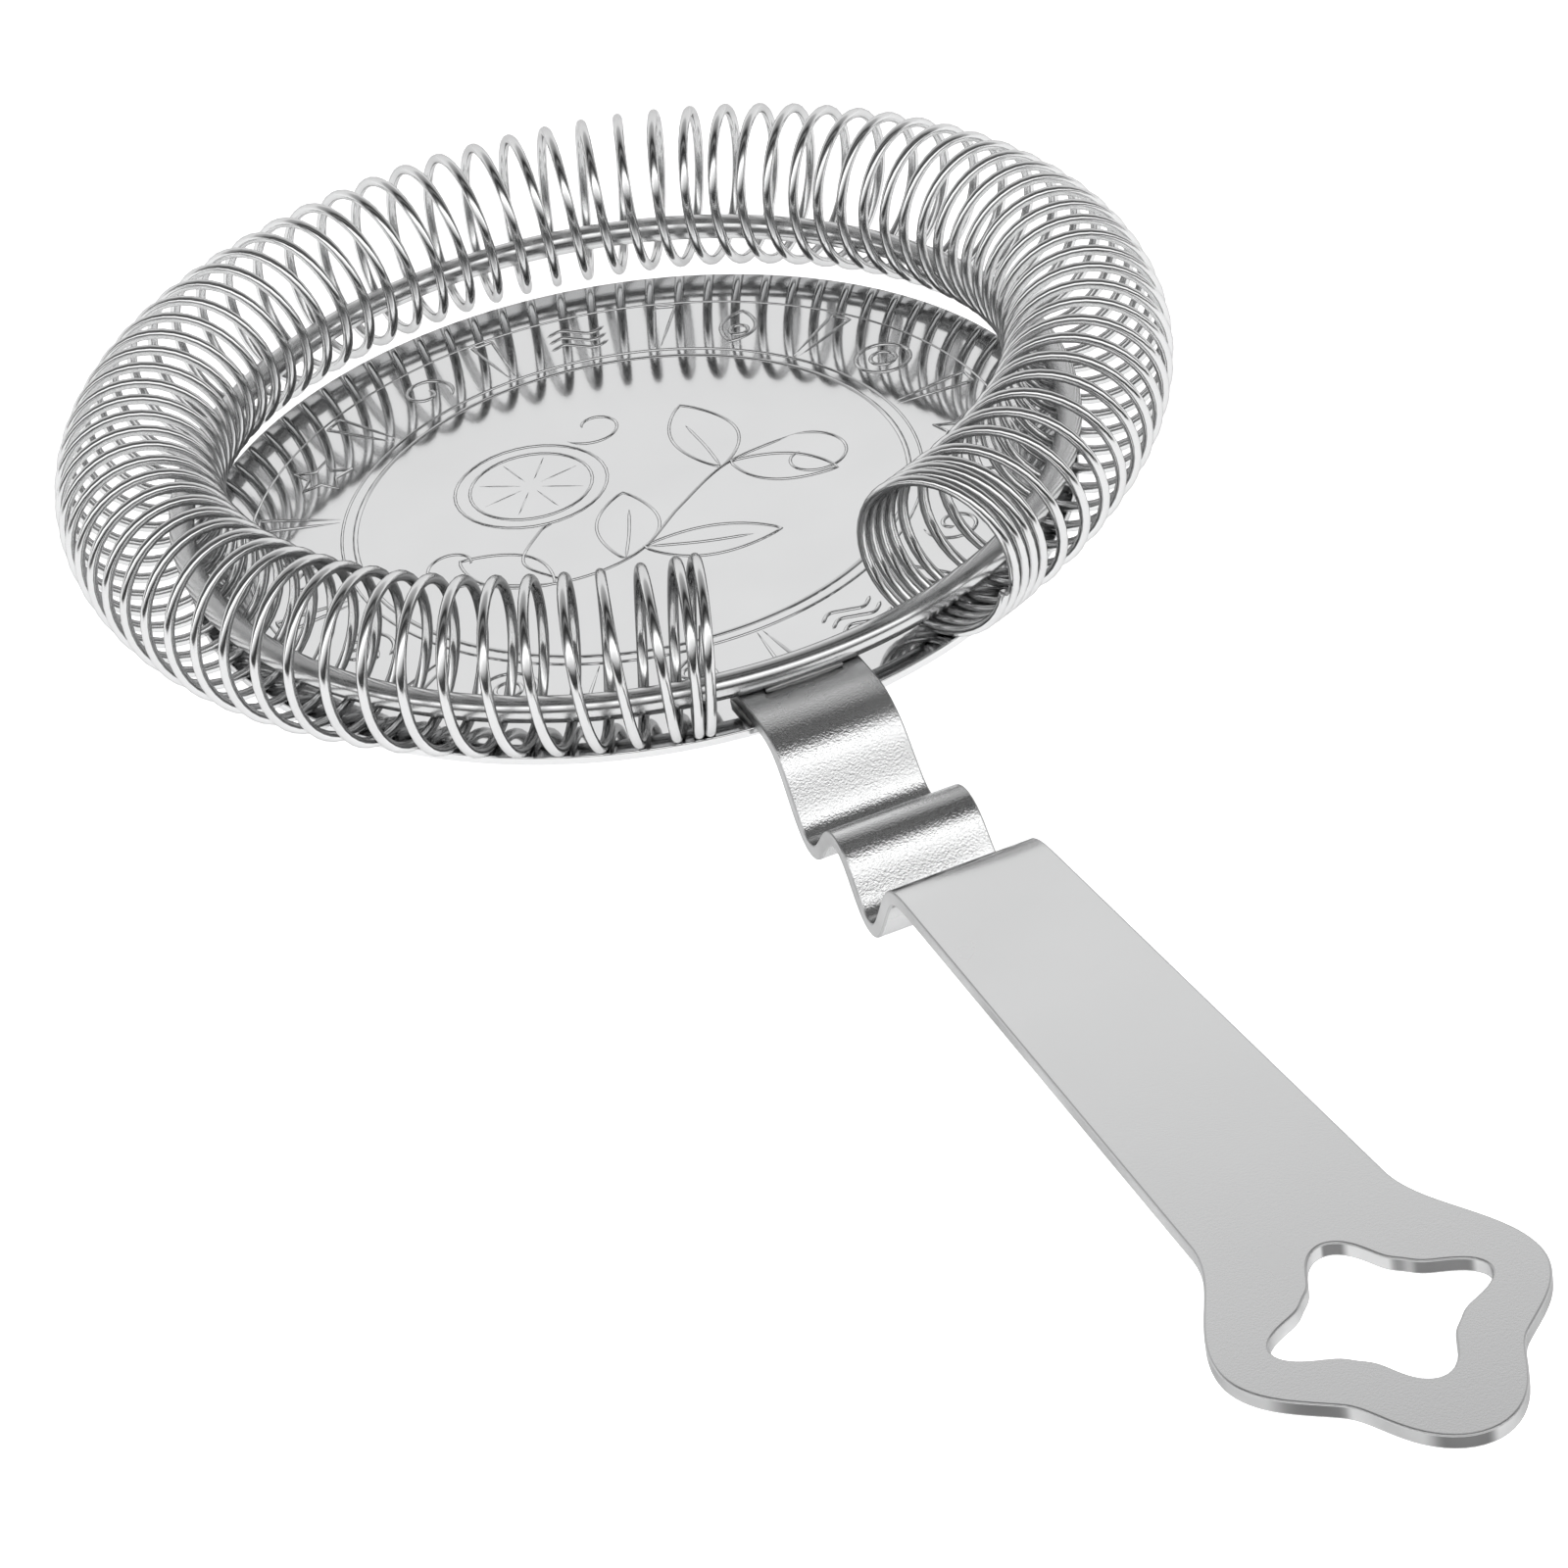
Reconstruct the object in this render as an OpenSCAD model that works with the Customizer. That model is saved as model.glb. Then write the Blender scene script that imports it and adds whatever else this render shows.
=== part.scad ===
// Hawthorne strainer: a stamped round plate, a wire ring standing on the inner
// end of a crimped strap handle, and a coil spring threaded loosely on the ring.
//
// Frame: +Z up, the spring side of the plate faces up. Origin at the centre of
// the plate's underside. The handle runs along -Y. Units are millimetres.

/* [Plate] */
// Diameter of the round plate
plate_d = 76; // [74:0.5:78]
// Sheet thickness of the plate
plate_t = 0.8; // [0.6:0.1:1]
// Radius of the plain centre field (inside the inner border line)
medallion_r = 23.7; // [20:0.1:24]
// Gap between the two border lines of the centre field
border_gap = 1.15; // [0.8:0.05:1.6]
// Height of the stamped relief above the plate
relief_h = 0.12; // [0.05:0.01:0.14]
// Width of a stamped line
relief_w = 0.35; // [0.2:0.05:0.5]
// Angle of the first sector divider, seen from above
divider_start = 2.1; // [0:0.1:30]

/* [Ring] */
// Diameter of the ring's wire
ring_wire_d = 2.2; // [2:0.05:2.2]
// Radius of the ring, to the wire's centre line
ring_r = 38; // [37.9:0.05:38.1]
// Sideways offset of the ring's centre from the plate's centre
ring_x = 1; // [0.9:0.05:1.1]
// Offset of the ring's centre away from the handle
ring_y = 3.3; // [3.2:0.05:3.4]
// Rise of the ring from the handle side to the far side
ring_rise = 0.8; // [0.7:0.05:1]

/* [Spring] */
// Wire diameter of the coil spring
spring_wire_d = 0.9; // [0.8:0.02:0.92]
// Radius of one turn, to the wire's centre line
turn_r = 6.8; // [6.78:0.01:6.82]
// Radius of the circle the spring is bent round
spring_r = 39.4; // [39.3:0.05:39.5]
// Offset of that circle's centre away from the handle
spring_y = 4; // [3.9:0.05:4.1]
// Height of that circle above the top of the plate
spring_h = 7.2; // [7.18:0.01:7.24]
// Number of whole turns
turns = 82; // [60:1:82]
// Angle of the spring's free end to the right of the handle
spring_start = -73.8; // [-74:0.1:-70]
// Angle of the spring's end beside the handle's left edge
spring_end = 258.2; // [256:0.1:258.2]
// Angle taken by the one closed turn at each end
closed_turn = 1.7; // [1.65:0.01:1.9]

/* [Handle] */
// Thickness of the handle strip
strap_t = 1.2; // [1.18:0.01:1.22]
// Width of the strip on the plate
strap_w_in = 10.6; // [10:0.1:10.8]
// Width of the strip where the flat grip starts
strap_w_mid = 12.2; // [11:0.1:13]
// Width of the strip where it meets the looped end
strap_w_out = 14.8; // [13:0.1:16]
// Sideways offset of the handle's centre line
strap_x = 0.3; // [0.2:0.05:0.4]
// Inner end of the strip, measured from the plate's centre
strap_in = 32.2; // [32.1:0.1:32.8]
// Distance from the plate's centre to the first bend
bend_y = 41; // [40.8:0.1:41.5]
// Distance from the plate's centre to the start of the flat grip
grip_y = 64.9; // [64:0.1:66]
// Depth of the two grooves below the strip on the plate
groove_depth = 8.8; // [7:0.1:9.5]
// Upward slope of the flat grip, degrees
grip_slope = 2.5; // [0:0.1:5]
// Distance from the plate's centre to the centre of the looped end
loop_y = 129.4; // [118:0.5:140]
// Reach of the looped end to each side
loop_side = 11.9; // [11:0.1:13]
// Reach of the looped end at its tip
loop_tip = 14.4; // [13:0.1:15.5]
// Radius of the looped end between its lobes
loop_waist = 9.9; // [9.6:0.1:10.5]
// Reach of the four points of the cut-out
hole_point = 8.1; // [7:0.1:8.4]
// Radius of the cut-out between its points
hole_waist = 5.3; // [4.6:0.1:5.6]

/* [Welds] */
// Length of the weld beads that hold the ring on the strip
ring_bead_l = 7; // [4:0.5:8]
// Leg of the small beads along the strip's edges
edge_bead = 0.5; // [0.3:0.05:0.6]

/* [View] */
// Which piece to draw, or "all"

/* [Hidden] */
plate_r = plate_d / 2;
strap_top = plate_t + strap_t;
ring_touch_gap = 0.01;                  // keeps ring and strip from overlapping
ring_front_y = ring_y - ring_r;         // where the ring crosses the strip
ring_front_z = strap_top + ring_wire_d / 2 + ring_touch_gap;
ring_tilt = asin(ring_rise / (2 * ring_r));

STEEL = [0.78, 0.79, 0.80];
SPRING_STEEL = [0.72, 0.73, 0.74];
SATIN = [0.70, 0.71, 0.72];
WELD = [0.60, 0.60, 0.61];

// ---------------------------------------------------------------- plate
divider_n = 12;
divider_in = medallion_r + border_gap + 0.4;    // inner end of a divider
divider_out = strap_in - 0.3;                   // stops short of the strip and the spring
divider_w_out = 1.9;                            // a divider widens outwards

module border_line(r) {
    translate([0, 0, plate_t]) linear_extrude(relief_h) difference() {
        circle(r = r + relief_w / 2, $fn = 180);
        circle(r = r - relief_w / 2, $fn = 180);
    }
}

// One tapered divider: a narrow ridge with a groove down its middle.
module divider() {
    groove = 0.3;
    translate([0, 0, plate_t]) linear_extrude(relief_h) difference() {
        polygon([[divider_in, -relief_w], [divider_out, -divider_w_out / 2],
                 [divider_out, divider_w_out / 2], [divider_in, relief_w]]);
        polygon([[divider_in + 1.5, -0.02], [divider_out - groove, groove - divider_w_out / 2],
                 [divider_out - groove, divider_w_out / 2 - groove], [divider_in + 1.5, 0.02]]);
    }
}

module strainer_plate() color(STEEL) union() {
    cylinder(r = plate_r, h = plate_t, $fn = 180);
    border_line(medallion_r);
    border_line(medallion_r + border_gap);
    for (i = [0 : divider_n - 1]) rotate(divider_start + i * 360 / divider_n) divider();
}

// ----------------------------------------------------------------- ring
module ring_solid(wire_d)
    translate([ring_x, ring_front_y, ring_front_z]) rotate([ring_tilt, 0, 0])
        translate([0, ring_r, 0]) rotate_extrude($fn = 180)
            translate([ring_r, 0]) circle(d = wire_d, $fn = 48);

module retaining_ring() color(STEEL) ring_solid(ring_wire_d);

// --------------------------------------------------------------- spring
seg = 12;                               // straight pieces in one turn
sides = 5;                              // sides of the drawn wire
first_angle = -15;                      // where on the turn the wire starts
end_steps = 5;                          // pieces after the last whole turn
steps = turns * seg + end_steps;
open_span = spring_end - spring_start - 2 * closed_turn;

// Angle round the ring after k pieces: one closed turn at each end.
function sweep(k) = k <= seg ? closed_turn * k / seg
    : k >= steps - seg ? spring_end - spring_start - closed_turn * (steps - k) / seg
    : closed_turn + open_span * (k - seg) / (steps - 2 * seg);
// The wire runs over the top, down the outside and back under the ring.
function turn_angle(k) = first_angle - 360 * k / seg;
function turn_dir(a, p) = [cos(p) * cos(a), cos(p) * sin(a), sin(p)];
function ring_dir(a) = [-sin(a), cos(a), 0];

// A corner of the wire's cross-section at piece k.
function wire_corner(k, j) =
    let (a = spring_start + sweep(k), p = turn_angle(k), q = 360 * j / sides,
         centre = [spring_r * cos(a), spring_r * sin(a), 0] + turn_r * turn_dir(a, p),
         r = spring_wire_d / 2)
    centre + r * cos(q) * turn_dir(a, p) + r * sin(q) * ring_dir(a);

module spring_coil() color(SPRING_STEEL)
    translate([ring_x, spring_y, plate_t + spring_h])
    polyhedron(
        points = [for (k = [0 : steps]) for (j = [0 : sides - 1]) wire_corner(k, j)],
        faces = concat(
            [[for (j = [0 : sides - 1]) j]],
            [for (k = [0 : steps - 1]) for (j = [0 : sides - 1])
                [k * sides + j, (k + 1) * sides + j, k * sides + (j + 1) % sides]],
            [for (k = [0 : steps - 1]) for (j = [0 : sides - 1])
                [k * sides + (j + 1) % sides, (k + 1) * sides + j,
                 (k + 1) * sides + (j + 1) % sides]],
            [[for (j = [sides - 1 : -1 : 0]) steps * sides + j]]),
        convexity = 20);

// --------------------------------------------------------------- handle
// Centre line of the strip seen from the side, as [distance out, height].
mid_z = plate_t + strap_t / 2;
crimp = (grip_y - bend_y) / 24;         // stretches the two grooves with the length
strap_end = loop_y + loop_tip + 4;
side_line = [
    [strap_in, mid_z],
    [bend_y, mid_z],
    [bend_y + 5.6 * crimp, mid_z - groove_depth],
    [bend_y + 12.5 * crimp, mid_z - 0.4],
    [bend_y + 18 * crimp, mid_z - groove_depth],
    [grip_y, mid_z + 0.4],
    [strap_end, mid_z + 0.4 + (strap_end - grip_y) * tan(grip_slope)]];
bend_r = [0, 3, 2.2, 2.2, 1.9, 2, 0];   // bend radius at each corner
arc_n = 8;                              // straight pieces in one bend

function unit(v) = v / norm(v);
function heading(v) = atan2(v[1], v[0]);
function cross2(a, b) = a[0] * b[1] - a[1] * b[0];
// Headings along the bend at corner i, and its start and centre.
function corner_in(i) = unit(side_line[i] - side_line[i - 1]);
function corner_out(i) = unit(side_line[i + 1] - side_line[i]);
function corner_turn(i) = asin(max(-1, min(1, cross2(corner_in(i), corner_out(i)))));
function wide_turn(i) = corner_in(i) * corner_out(i) < 0
    ? sign(corner_turn(i)) * (180 - abs(corner_turn(i))) : corner_turn(i);
function bend_pt(i, s, side) =
    let (turn = wide_turn(i), r = bend_r[i], sg = sign(turn),
         d_in = corner_in(i), n_in = [-d_in[1], d_in[0]] * sg,
         start = side_line[i] - d_in * r * tan(abs(turn) / 2),
         centre = start + n_in * r,
         h = heading(d_in) + turn * s,
         n = [-sin(h), cos(h)])
    centre - n * sg * r + n * side * strap_t / 2;
function end_pt(i, d, side) = side_line[i] + [-d[1], d[0]] * side * strap_t / 2;
last = len(side_line) - 1;
function side_pts(side) = concat(
    [end_pt(0, corner_out(0), side)],
    [for (i = [1 : last - 1]) for (s = [0 : arc_n]) bend_pt(i, s / arc_n, side)],
    [end_pt(last, corner_in(last), side)]);
function reversed(v) = [for (i = [len(v) - 1 : -1 : 0]) v[i]];

module strap_side() {
    half = loop_side + 2;
    rotate([90, 0, -90]) translate([0, 0, -half]) linear_extrude(2 * half)
        polygon(concat(side_pts(1), reversed(side_pts(-1))));
}

// Outline of the looped end, by angle; 0 points right, -90 at the tip.
function wrap(a) = a - 360 * round(a / 360);
function bump(a, width) = abs(wrap(a)) >= width ? 0 : pow(cos(wrap(a) * 90 / width), 2);
function loop_radius(a) = loop_waist
    + (loop_side - loop_waist) * (bump(a, 48) + bump(a - 180, 48))
    + (loop_tip - loop_waist) * bump(a + 90, 43);
function hole_radius(a) = hole_waist + (hole_point - hole_waist) * pow((1 + cos(4 * a)) / 2, 1.7);
function loop_pt(r, a) = [r * cos(a), r * sin(a) - loop_y];
loop_step = 3.75;                       // angle between points of the looped end
tip_edge = [for (a = [-loop_step : -loop_step : loop_step - 180]) loop_pt(loop_radius(a), a)];
hole_edge = [for (a = [0 : loop_step : 360 - loop_step]) loop_pt(hole_radius(a), a)];

// The grip flares into the loop along an S-shaped edge.
neck_l = 13;
neck_n = 12;
function flare(t) = strap_w_out / 2 + (loop_side - strap_w_out / 2) * (1 - cos(180 * t)) / 2;
right_edge = concat(
    [[strap_w_in / 2, 1 - strap_in], [strap_w_in / 2, -bend_y], [strap_w_mid / 2, -grip_y]],
    [for (i = [0 : neck_n]) [flare(i / neck_n), neck_l * (1 - i / neck_n) - loop_y]]);
left_edge = [for (p = reversed(right_edge)) [-p[0], p[1]]];

module strap_plan() difference() {
    polygon(concat(right_edge, tip_edge, left_edge));
    polygon(hole_edge);
}

module handle_strap() color(SATIN) translate([strap_x, 0, 0]) intersection() {
    strap_side();
    translate([0, 0, -20]) linear_extrude(60) strap_plan();
}

// ---------------------------------------------------------------- welds
// Two beads, one each side of the ring, where it stands on the strip.
module ring_weld_beads() color(WELD) difference() {
    for (side = [-1, 1]) translate([ring_x * 0.5, ring_front_y, strap_top])
        rotate([90, 0, 90]) translate([0, 0, -ring_bead_l / 2]) linear_extrude(ring_bead_l)
            polygon([[side * 0.45, 0], [side * 1.75, 0], [side * 1.5, 0.45],
                     [side * 1.15, 0.95], [side * 0.7, 0.8]]);
    ring_solid(ring_wire_d);
}

// Two small beads where the strip's long edges meet the plate.
module strap_weld_beads() color(WELD) {
    bead_from = -37.4;
    bead_to = -33.2;
    for (side = [-1, 1]) translate([strap_x + side * strap_w_in / 2, bead_from, plate_t])
        rotate([-90, 0, 0]) linear_extrude(bead_to - bead_from)
            polygon([[0, 0], [side * edge_bead, 0], [side * edge_bead * 0.55, -edge_bead * 0.55],
                     [0, -edge_bead]]);
}

strainer_plate();
retaining_ring();
spring_coil();
handle_strap();
ring_weld_beads();
strap_weld_beads();
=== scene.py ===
"""Hawthorne strainer: stamped plate, wire ring, coil spring and crimped strap handle."""
import math

import bmesh
import bpy
import numpy as np
from mathutils import Matrix, Vector, noise


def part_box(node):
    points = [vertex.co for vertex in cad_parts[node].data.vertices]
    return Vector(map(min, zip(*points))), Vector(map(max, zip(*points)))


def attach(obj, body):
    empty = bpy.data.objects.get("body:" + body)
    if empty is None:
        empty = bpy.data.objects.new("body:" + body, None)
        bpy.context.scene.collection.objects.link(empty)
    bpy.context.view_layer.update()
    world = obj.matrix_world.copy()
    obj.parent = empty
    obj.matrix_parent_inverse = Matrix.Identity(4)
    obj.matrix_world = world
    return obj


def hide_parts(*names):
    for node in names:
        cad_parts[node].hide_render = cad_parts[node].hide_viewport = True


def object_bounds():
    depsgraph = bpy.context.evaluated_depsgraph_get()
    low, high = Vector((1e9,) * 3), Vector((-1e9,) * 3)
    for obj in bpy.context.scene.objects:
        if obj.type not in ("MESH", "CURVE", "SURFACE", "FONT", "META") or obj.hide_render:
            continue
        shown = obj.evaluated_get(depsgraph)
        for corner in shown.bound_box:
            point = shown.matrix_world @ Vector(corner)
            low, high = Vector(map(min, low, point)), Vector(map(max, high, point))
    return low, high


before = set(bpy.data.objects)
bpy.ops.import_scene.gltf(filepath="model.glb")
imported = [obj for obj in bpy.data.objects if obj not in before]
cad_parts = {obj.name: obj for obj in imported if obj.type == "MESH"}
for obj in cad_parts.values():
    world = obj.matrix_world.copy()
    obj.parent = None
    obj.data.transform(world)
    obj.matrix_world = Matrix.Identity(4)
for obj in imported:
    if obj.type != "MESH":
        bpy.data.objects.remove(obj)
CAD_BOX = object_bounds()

MM = 0.001
TAU = 2 * math.pi

# ------------------------------------------------------------ sizes, in millimetres
plate_low, plate_high = [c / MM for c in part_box("strainer_plate")]
ring_low, ring_high = [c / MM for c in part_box("retaining_ring")]
strap_low, strap_high = [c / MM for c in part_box("handle_strap")]

RELIEF_H = 0.12                               # height of the stamped lines
PLATE_R = (plate_high.x - plate_low.x) / 2
PLATE_T = plate_high.z - plate_low.z - RELIEF_H
PLATE_EDGE = 0.16                             # rounding of the plate's rim
FIELD_R = 23.7                                # inner border line
BORDER_GAP = 1.15
DIVIDER_N = 12
DIVIDER_START = 2.1                           # degrees
DIVIDER_IN, DIVIDER_OUT = FIELD_R + BORDER_GAP + 0.4, 32.4
DIVIDER_W_IN, DIVIDER_W_OUT = 0.504, 1.9      # spread of its two lines at either end
OUTER_LINE_R = 33.0                           # thin line just inside the ring
OUTER_LINE_GAP = 10.0                         # degrees it stops short of the strap, each side
BORDER_LINE_W = (0.5, 0.3)                    # inner and outer border line
OUTER_LINE_W, OUTER_LINE_H = 0.26, 0.8        # widths in mm, heights as a share of RELIEF_H
DIVIDER_LINE_W, DIVIDER_LINE_H = 0.34, 1.2
SYMBOL_W, SYMBOL_H = 0.42, 1.2
MOTIF_W, MOTIF_H = 0.32, 1.0

RING_WIRE = 2.2
RING_R = (ring_high.x - ring_low.x - RING_WIRE) / 2
RING_X = (ring_high.x + ring_low.x) / 2
RING_Y = (ring_high.y + ring_low.y) / 2
RING_RISE = ring_high.z - ring_low.z - RING_WIRE
RING_Z = ring_low.z + RING_WIRE / 2           # height where the ring crosses the strap

SPRING_WIRE = 0.9
TURN_R = 6.8
COIL_A, COIL_B = 40.6, 39.4                   # the coil lies in a slight oval
COIL_X, COIL_Y, COIL_Z = 0.87, 4.09, 7.59     # its centre
SPRING_START, SPRING_END = -72.9, 259.6       # degrees round the plate
TURNS = 82.4                                  # the last part turn ends on the inner side
STEPS_PER_TURN = 40
COIL_SKEW, COIL_TILT, COIL_BOW = 0.15, 0.8, 0.3   # how it departs from a flat oval
CLOSED_RIGHT, CLOSED_LEFT = 3.6, 1.3          # closed turns at the two ends
CLOSE_RIGHT, CLOSE_LEFT, CLOSE_RUN = 0.36, 0.35, 1.2   # their spacing, and turns to reach it
SPACING_CHANGE = 0.04                         # how much the open turns' spacing varies
END_LEAN, END_SHIFT = 17.0, 0.8               # degrees, mm: the first turns hang outwards
LEFT_LEAN, LEFT_SHIFT = -6.5, 0.52            # and so do the last ones
LEAN_LOSS, LEAN_GAIN = 5.4, 2.0               # degrees it changes within the closed turns
LEAN_RUN_RIGHT, LEAN_RUN_LEFT = 10, 4         # turns until the lean is gone
SHIFT_RUN_RIGHT, SHIFT_RUN_LEFT = 8, 6        # turns until the shift is gone
LEFT_TIP = 8.5                                # degrees the last turns tip towards the strap
WIRE_START = -15.0                            # where the cut end is, round the first turn

STRAP_T = 1.2
STRAP_EDGE = 0.16                             # rounding of the strap's long edges
STRAP_X = (strap_high.x + strap_low.x) / 2
STRAP_IN = -strap_high.y                      # inner end, distance from the plate's centre
STRAP_MID_Z = PLATE_T + STRAP_T / 2
STRAP_W_IN, STRAP_W_MID, STRAP_W_OUT = 10.6, 12.2, 14.8
BEND_Y, GRIP_Y = 41.0, 64.9                   # first bend, start of the flat grip
GROOVE = 8.8                                  # depth of the crimped grooves, at their corners
GROOVE_IN, RIDGE_AT, GROOVE_OUT = 5.6 / 24, 12.5 / 24, 18 / 24   # shares of the crimped length
RIDGE_STEP = 0.4                              # the ridge is this much lower, the grip higher
BEND_RADII = (4, 2.2, 2.2, 1.9, 2)
GRIP_SLOPE = 2.5                              # degrees
LOOP_SIDE = (strap_high.x - strap_low.x) / 2
LOOP_TIP, LOOP_WAIST = 14.4, 9.9
LOOP_SIDE_SPREAD, LOOP_TIP_SPREAD = 48, 43    # degrees over which the sides and tip bulge
LOOP_Y = -strap_low.y - LOOP_TIP
NECK_L = 13.0                                 # length over which it widens to the loop
HOLE_POINT, HOLE_WAIST = 8.1, 5.3
HOLE_SHARPNESS = 1.7                          # higher makes the four points narrower
STRAP_CORNER = 0.5                            # chamfer at the inner end's corners
STRAP_OUT_Y = 70.0                            # beyond this the strap is flat
MARK_OFFSET, MARK_WIDTH = 0.1, 0.8            # tool marks along the bend before the grip
MARK_GRAIN = 1700.0                           # cells per metre
MARK_LIMITS, MARK_TONE = (0.44, 0.54), 0.10   # noise where marks begin and are full; grey
BEND_GRAIN, GRIP_GRAIN = 0.03, 0.2            # satin relief on the bends, share of it beyond
FRONT_DARK, LOOP_TONE = 0.3, 0.85             # painted shade: darkening of walls facing the camera and of the loop
FRONT_TURN = -5.0                             # degrees from the camera to the dark side
FRONT_LIMITS = (0.86, 0.96)                   # cosines between which the walls darken
LOOP_TONE_Y = 85.0                            # where the painted shade towards the loop starts
STRAP_EASE = 1.4                              # how softly the bends run into the slopes

RING_BEAD_GAP, RING_BEAD_R = 0.74, 0.36       # from the ring's centre line; thickness
RING_BEAD_HALF, RING_BEAD_LIFT = 3.3, 0.24    # half length; height above the strap
STRAP_BEAD_GAP, STRAP_BEAD_R = 0.08, 0.3      # outside the strap's edge; thickness
STRAP_BEAD_IN, STRAP_BEAD_OUT, STRAP_BEAD_LIFT = 33.3, 37.3, 0.1
BEAD_LUMPS, BEAD_WANDER = 0.16, 0.04          # share of the thickness; millimetres

CAMERA_AZIMUTH, CAMERA_ELEVATION, CAMERA_ROLL = -17.86, 34.42, -9.52   # degrees
CAMERA_DISTANCE = 0.410                       # metres
CAMERA_AIM = Vector((-0.0115, -0.0440, PLATE_T * MM))
CAMERA_LENS = 121.26
CAMERA_SHIFT = (0.0464, 0.0059)

# brightness of the surroundings, from the horizon behind the object (0), over the
# top (0.5) to the horizon behind the camera (1)
FAR_WALL = ((0.0, 1.4), (0.15, 1.2), (0.205, 1.18), (0.213, 0.82), (0.26, 0.62), (0.36, 0.42))
CEILING = ((0.42, 0.03), (0.465, 0.03), (0.485, 0.32), (0.515, 0.32), (0.535, 0.03),
           (0.59, 0.03), (0.65, 0.3))
SOFT_LIGHT = ((0.69, 2.4), (0.72, 2.8), (0.75, 1.7), (0.81, 1.2), (0.86, 0.6))
DARK_BEHIND = ((0.895, 0.06), (1.0, 0.01))
FLOOR_HALF, FLOOR_DROP = 3.0, 0.0004          # metres
FLOOR_TONE = (0.93, 0.97)
FLOOR_GLOW = 0.8                              # keeps the card pale under any light


# ------------------------------------------------------------ node materials
def new_material(name):
    """A node material, its tree and its shader."""
    mat = bpy.data.materials.new(name)
    mat.use_nodes = True
    return mat, mat.node_tree, mat.node_tree.nodes["Principled BSDF"]


def add_node(tree, kind, **settings):
    """Adds a node; each setting is an input's value or one of the node's own properties."""
    node = tree.nodes.new(kind)
    for key, value in settings.items():
        if key in node.inputs:
            node.inputs[key].default_value = value
        else:
            setattr(node, key, value)
    return node


def noise_at(tree, scale, detail=3.0, stretch=(1, 1, 1)):
    """Noise in the object's own space; scale is in cells per metre."""
    place = add_node(tree, "ShaderNodeTexCoord")
    mapping = add_node(tree, "ShaderNodeMapping")
    mapping.inputs["Scale"].default_value = stretch
    tex = add_node(tree, "ShaderNodeTexNoise", Scale=scale, Detail=detail)
    tree.links.new(place.outputs["Object"], mapping.inputs["Vector"])
    tree.links.new(mapping.outputs["Vector"], tex.inputs["Vector"])
    return tex.outputs["Fac"]


def scale_range(tree, value, limits, smooth=False):
    """Maps one range of a value to another: from low, from high, to low, to high."""
    kind = "SMOOTHSTEP" if smooth else "LINEAR"
    node = add_node(tree, "ShaderNodeMapRange", interpolation_type=kind)
    tree.links.new(value, node.inputs["Value"])
    for key, limit in zip(("From Min", "From Max", "To Min", "To Max"), limits):
        node.inputs[key].default_value = limit
    return node.outputs["Result"]


def math_node(tree, operation, value, other=None):
    """One arithmetic step on a value; other is a number or a second value."""
    node = add_node(tree, "ShaderNodeMath", operation=operation)
    tree.links.new(value, node.inputs[0])
    if isinstance(other, float):
        node.inputs[1].default_value = other
    elif other is not None:
        tree.links.new(other, node.inputs[1])
    return node.outputs["Value"]


def add_bump(tree, height, strength, distance, under=None):
    """Relief from a height, laid over the relief under it."""
    node = add_node(tree, "ShaderNodeBump")
    node.inputs["Strength"].default_value = strength
    node.inputs["Distance"].default_value = distance
    tree.links.new(height, node.inputs["Height"])
    if under is not None:
        tree.links.new(under, node.inputs["Normal"])
    return node.outputs["Normal"]


CLEAN, SMUDGED = 0.7, 1.3                     # range of the roughness, as shares
SMUDGES, SCRATCHES, WAVES = 90.0, 5000.0, 60.0    # cells per metre
GRAIN_DEPTH, SCRATCH_DEPTH, WAVE_DEPTH = 0.02, 0.01, 0.05
EDGE_TINT = 0.55                              # how much of a glancing reflection is left


def steel(name, tint, rough, grain, grain_size, scratch, wave=0.0, patch=(0.94, 1.04)):
    """Bare stainless steel: smudges, fine grain, faint scratches and a slow waviness."""
    mat, tree, shader = new_material(name)
    shader.inputs["Metallic"].default_value = 1.0
    shader.inputs["Specular Tint"].default_value = (EDGE_TINT, EDGE_TINT, EDGE_TINT, 1)
    smudge = noise_at(tree, SMUDGES, 4.0)
    tone = scale_range(tree, smudge, (0, 1, *patch))
    colour = add_node(tree, "ShaderNodeMix", data_type="RGBA", blend_type="MULTIPLY")
    colour.inputs["Factor"].default_value = 1.0
    colour.inputs["A"].default_value = (*tint, 1)
    tree.links.new(tone, colour.inputs["B"])
    tree.links.new(colour.outputs["Result"], shader.inputs["Base Color"])
    roughness = scale_range(tree, smudge, (0, 1, rough * CLEAN, rough * SMUDGED))
    tree.links.new(roughness, shader.inputs["Roughness"])
    cells = noise_at(tree, 1 / (grain_size * MM), 2.0)
    normal = add_bump(tree, cells, grain, GRAIN_DEPTH * MM)
    lines = noise_at(tree, SCRATCHES, 2.0, stretch=(1, 0.03, 1))
    normal = add_bump(tree, lines, scratch, SCRATCH_DEPTH * MM, normal)
    if wave:
        normal = add_bump(tree, noise_at(tree, WAVES, 1.0), wave, WAVE_DEPTH * MM, normal)
    tree.links.new(normal, shader.inputs["Normal"])
    return mat


def multiply_colour(mat, factor):
    """Multiplies a material's base colour by a factor."""
    tree = mat.node_tree
    target = tree.nodes["Principled BSDF"].inputs["Base Color"]
    mix = add_node(tree, "ShaderNodeMix", data_type="RGBA", blend_type="MULTIPLY")
    mix.inputs["Factor"].default_value = 1.0
    tree.links.new(target.links[0].from_socket, mix.inputs["A"])
    tree.links.new(factor, mix.inputs["B"])
    tree.links.new(mix.outputs["Result"], target)
    return mat


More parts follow.
